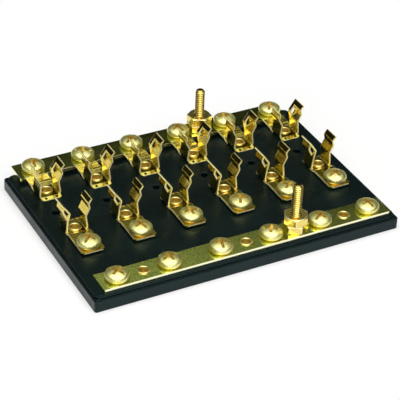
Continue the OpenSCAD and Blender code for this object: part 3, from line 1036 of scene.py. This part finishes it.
@dataclass
class StudsAndNuts:
    """The two threaded studs, each with a clamping nut and a terminal nut.

    Attributes:
        thread: Radius of the thread.
        pitch: Rise of one turn.
        head: Radius of the flat head in the back of the plate.
        head_height: Thickness of that head.
        edges: Edge break of the nuts.
    """

    thread: float = 1.75 * MM
    pitch: float = 0.794 * MM
    head: float = 2.9 * MM
    head_height: float = 1.2 * MM
    edges: EdgeBreak = EdgeBreak(width=0.12 * MM, steps=2, angle=20.0, clamp=True)

    def build(self) -> None:
        """Builds studs and nuts and ties each to its body."""
        tree = self.tree()
        for row in (Row.GROUND, Row.SUPPLY):
            node = row.value + "_stud"
            low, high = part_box(node)
            values = {
                "Thread": self.thread, "Pitch": self.pitch, "Length": high.z - low.z,
                "Head": self.head, "Head Height": self.head_height,
                "Foot": ((low.x + high.x) / 2, (low.y + high.y) / 2, low.z),
            }
            mesh = tree.mesh(node + "_threaded", values, STUD_BRASS, TURNED_CREASE_DEGREES)
            place_piece(node + "_threaded", mesh, STUD_BRASS, [node])
            for which, body in (("lower", Body.BLOCK.value), ("top", row.value + "_top_nut")):
                nut = f"{row.value}_{which}_nut"
                place_piece(nut + "_hexagon", self.edges.mesh(nut), STUD_BRASS, [nut], body)

    @staticmethod
    def tree() -> ShapeTree:
        """Tree that shapes one stud and sets it in its place."""
        tree = ShapeTree("threaded_stud")
        thread, pitch, length = tree.sizes("Thread", "Pitch", "Length")
        head, head_height = tree.sizes("Head", "Head Height")
        foot = tree.size("Foot", "NodeSocketVector")
        around, along, thread_rows = 48, 2, 240

        def shape(_turn: Any, share: Any) -> Tuple[Any, Any]:
            """Radius and height of a point of the head's wall."""
            return head, tree.math("MULTIPLY", share, head_height)

        wall = tree.revolved(around, along, shape)
        ends = tree.disc(around, head, 0.0, True), tree.disc(around, head, head_height, False)
        flat = tree.joined(wall, *ends)
        start = tree.math("MULTIPLY", head_height, 0.5)
        whole = tree.joined(flat, tree.thread(thread, pitch, start, length, thread_rows))
        tree.finish(tree.add("GeometryNodeTransform", {"Geometry": whole, "Translation": foot}).outputs[0])
        return tree


@dataclass(frozen=True)
class Lamp:
    """A square softbox that points at the object.

    Attributes:
        name: Name of the lamp.
        place: Where it hangs.
        size: Length of its sides in metres.
        watts: Its power.
    """

    name: str
    place: Vector
    size: float
    watts: float

    def hang(self) -> None:
        """Hangs the lamp out of the camera's sight."""
        data = bpy.data.lights.new(self.name, "AREA")
        data.shape = "SQUARE"
        data.size = self.size
        data.energy = self.watts
        lamp = bpy.data.objects.new(self.name, data)
        lamp.location = self.place
        lamp.rotation_euler = (-self.place).to_track_quat("-Z", "Y").to_euler()
        lamp.visible_camera = False
        bpy.context.scene.collection.objects.link(lamp)


@dataclass
class Studio:
    """Camera, floor, lamps and surroundings.

    Attributes:
        camera: Place of the camera.
        right: Direction of the picture's right side.
        up: Direction of the picture's top.
        lens: Focal length in millimetres.
        floor: Colour of the floor.
        shadow: How far from the object its shadow shows.
        glare: Share of plain white in the floor close to the object.
        surround: Colour of the dark surroundings above the horizon.
        wall: Colour of the pale band part way up them.
        strip: Colour of the pale strip high behind the object.
        lamps: The lamps.
    """

    camera: Vector = Vector((-0.234968, -0.433734, 0.339713))
    right: Vector = Vector((0.889064, -0.456516, 0.034031))
    up: Vector = Vector((0.232584, 0.514485, 0.825355))
    lens: float = 153.48
    floor: Colour = (0.95, 0.94, 0.95)
    shadow: float = 0.03
    glare: float = 0.35
    surround: Colour = (0.012, 0.013, 0.012)
    wall: Colour = (0.30, 0.33, 0.23)
    strip: Colour = (1.4, 1.5, 1.4)
    lamps: Tuple[Lamp, ...] = (
        Lamp("overhead_softbox", Vector((-0.1, -0.38, 1.1)), size=1.5, watts=18.0),
        Lamp("front_fill", Vector((-0.55, -1.25, 0.5)), size=0.9, watts=5.0),
    )

    def build(self) -> None:
        """Sets up everything around the object."""
        self.aim_camera()
        self.lay_floor()
        for lamp in self.lamps:
            lamp.hang()
        self.paint_world()
        bpy.context.scene.view_settings.view_transform = "Standard"

    def aim_camera(self) -> None:
        """Puts the camera where the photograph was taken from."""
        data = bpy.data.cameras.new("photo_camera")
        data.lens = self.lens
        data.sensor_width = 36.0
        data.clip_start = 0.01
        holder = bpy.data.objects.new("photo_camera", data)
        back = self.right.cross(self.up)
        turn = Matrix((self.right, self.up, back)).transposed().to_4x4()
        holder.matrix_world = Matrix.Translation(self.camera) @ turn
        bpy.context.scene.collection.objects.link(holder)
        bpy.context.scene.camera = holder

    def lay_floor(self) -> None:
        """Lays a pale floor that keeps the shadow near the object and is white further out."""
        mesh = bpy.data.meshes.new("floor")
        reach, drop = 6.0, 0.1 * MM
        corners = ((-reach, -reach), (reach, -reach), (reach, reach), (-reach, reach))
        mesh.from_pydata([(x, y, -drop) for x, y in corners], [], [(0, 1, 2, 3)])
        material = bpy.data.materials.new("pale_floor")
        graph = fresh_graph(material)
        matt = graph.add("ShaderNodeBsdfDiffuse", {"Color": (*self.floor, 1.0)})
        white = graph.add("ShaderNodeEmission", {"Strength": 1.0})
        place = graph.add("ShaderNodeTexCoord").outputs["Object"]
        across = graph.add("ShaderNodeSeparateXYZ", {0: place})
        beside = graph.math("SUBTRACT", graph.math("ABSOLUTE", across.outputs["X"]), CAD_BOX[1].x)
        beyond = graph.math("SUBTRACT", graph.math("ABSOLUTE", across.outputs["Y"]), CAD_BOX[1].y)
        far = graph.ramp(graph.math("MAXIMUM", beside, beyond), 0.0, self.shadow, self.glare, 1.0)
        mix = graph.add("ShaderNodeMixShader", {0: graph.math("MULTIPLY", far, self.seen(graph))})
        graph.feed(mix.inputs[1], matt.outputs[0])
        graph.feed(mix.inputs[2], white.outputs[0])
        graph.feed(graph.add("ShaderNodeOutputMaterial").inputs["Surface"], mix.outputs[0])
        mesh.materials.append(material)
        add_object("floor", mesh)

    @staticmethod
    def seen(graph: Graph) -> bpy.types.NodeSocket:
        """1 for rays from the camera, from metal and from glass, and 0 for the rest."""
        path = graph.add("ShaderNodeLightPath")
        mirrored = graph.math("MAXIMUM", path.outputs["Is Glossy Ray"], path.outputs["Is Transmission Ray"])
        return graph.math("MAXIMUM", path.outputs["Is Camera Ray"], mirrored)

    def paint_world(self) -> None:
        """Paints surroundings that are white below the horizon and dark, with a band and a strip, above."""
        horizon = (-0.04, -0.005)
        band_foot, band_top = (0.556, 0.608), (0.72, 0.85)
        strip_front, strip_back, strip_foot = (0.22, 0.29), (0.4, 0.55), (0.76, 0.83)
        world = bpy.data.worlds.new("studio")
        bpy.context.scene.world = world
        graph = fresh_graph(world)
        direction = graph.add("ShaderNodeTexCoord").outputs["Generated"]
        parts = graph.add("ShaderNodeSeparateXYZ", {0: direction})
        height, depth = parts.outputs["Z"], parts.outputs["Y"]
        dark = graph.ramp(height, *horizon, 0.0, 1.0)
        path = graph.add("ShaderNodeLightPath")
        hidden = graph.math("SUBTRACT", 1.0, path.outputs["Is Camera Ray"])
        band = graph.hump(height, band_foot, band_top)
        strip = graph.hump(depth, strip_front, strip_back)
        strip = graph.math("MULTIPLY", strip, graph.ramp(height, *strip_foot, 0.0, 1.0))
        above = Finish.blend(graph, band, self.surround, self.wall)
        above = Finish.blend(graph, strip, above, self.strip)
        colour = Finish.blend(graph, graph.math("MULTIPLY", dark, hidden), (1.0, 1.0, 1.0), above)
        shade = graph.add("ShaderNodeBackground", {"Color": colour, "Strength": 1.0})
        graph.feed(graph.add("ShaderNodeOutputWorld").inputs["Surface"], shade.outputs[0])


def main() -> None:
    """Builds the block piece by piece, then the studio around it."""
    logging.basicConfig(level=logging.INFO, format="%(name)s: %(message)s")
    for part in (BasePlate(), BusBars(), FuseClips(), Eyelets(), TerminalScrews(), StudsAndNuts(), Studio()):
        LOG.info("building %s", type(part).__name__)
        part.build()


if __name__ == "__main__":
    main()
